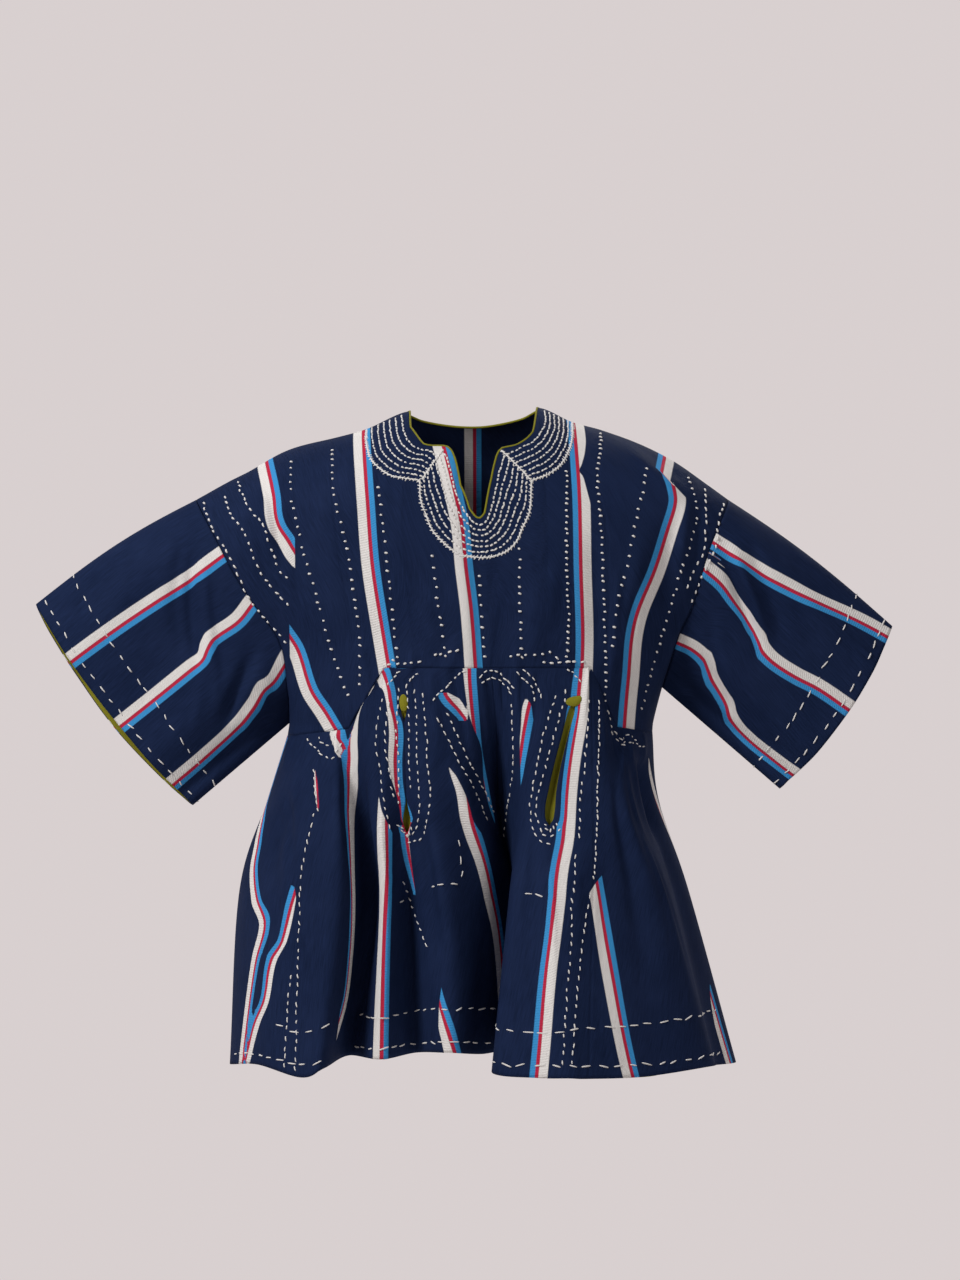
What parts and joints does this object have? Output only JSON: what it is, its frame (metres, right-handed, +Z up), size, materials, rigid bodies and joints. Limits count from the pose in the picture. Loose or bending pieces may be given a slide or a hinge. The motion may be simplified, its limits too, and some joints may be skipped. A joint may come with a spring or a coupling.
{
  "type": "fugu smock",
  "caption": "Worn strip-woven West African smock with wide short sleeves, hand-stitched round neck with a notch, slit pockets and a gathered, flared skirt.",
  "frame": {"origin": "middle of the neck opening at the height where the shoulder line meets the neck, where the wearer's shoulders hold the smock", "axes": "+Z up, -Y towards the garment's front, +X towards the wearer's left sleeve"},
  "size_m": [0.9441, 0.3792, 0.7295],
  "materials": {
    "navy_cloth": "plain-woven cotton with warp stripes in white, crimson and sky blue",
    "olive_cloth": "plain-woven cotton facing",
    "white_thread": "thick twisted cotton thread"
  },
  "bodies": {
    "root": {"yoke_front": "navy_cloth", "yoke_back": "navy_cloth", "sleeve_right": "navy_cloth", "sleeve_left": "navy_cloth", "skirt_front_right": "navy_cloth", "skirt_front_left": "navy_cloth", "skirt_back": "navy_cloth", "neck_binding": "olive_cloth", "cuff_facing_right": "olive_cloth", "cuff_facing_left": "olive_cloth", "hem_facing_front_right": "olive_cloth", "hem_facing_front_left": "olive_cloth", "hem_facing_back": "olive_cloth", "pocket_lining_right": "olive_cloth", "pocket_lining_left": "olive_cloth"}
  },
  "joints": []
}
